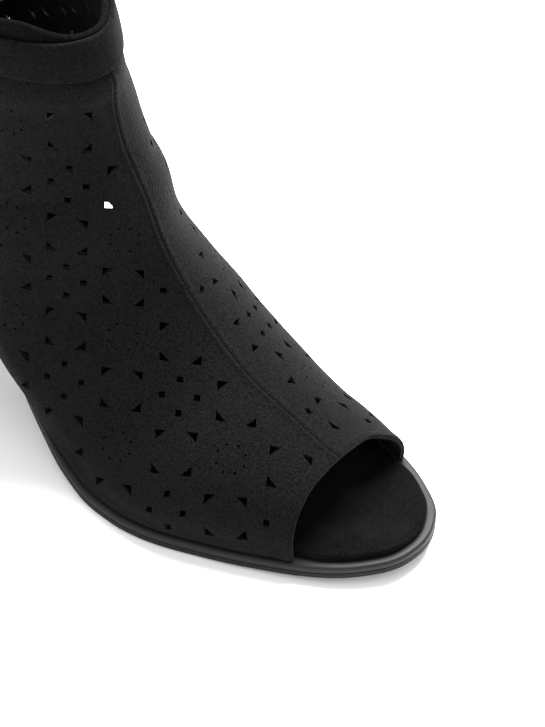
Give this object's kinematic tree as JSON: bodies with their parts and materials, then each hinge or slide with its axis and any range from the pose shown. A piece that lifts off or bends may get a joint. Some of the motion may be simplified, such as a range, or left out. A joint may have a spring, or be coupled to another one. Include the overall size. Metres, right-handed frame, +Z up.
{
  "type": "peep-toe heeled ankle bootie",
  "caption": "Pull-on ankle bootie, right foot: perforated soft upper open at the toe, collar band, thin rimmed sole, block heel.",
  "frame": {"origin": "centre of the bounding box at floor level", "axes": "+X to the toe, +Y to the wearer's left, which is the inner side of this right shoe, +Z up"},
  "size_m": [0.232, 0.0896, 0.1712],
  "materials": {
    "sole_rubber": "satin black moulded rubber",
    "rim_rubber": "satin black moulded rubber, rounded rim",
    "heel_plastic": "plain satin black",
    "footbed_suede": "black brushed microsuede",
    "upper_suede": "black fine-napped faux suede",
    "band_suede": "black fine-napped faux suede",
    "binding_suede": "black turned edge"
  },
  "bodies": {
    "root": {"outsole": "sole_rubber", "midsole": "rim_rubber", "heel": "heel_plastic", "heel_tip": "sole_rubber", "insole": "footbed_suede", "upper": "upper_suede", "ankle_band": "band_suede", "collar_binding": "binding_suede"}
  },
  "joints": []
}
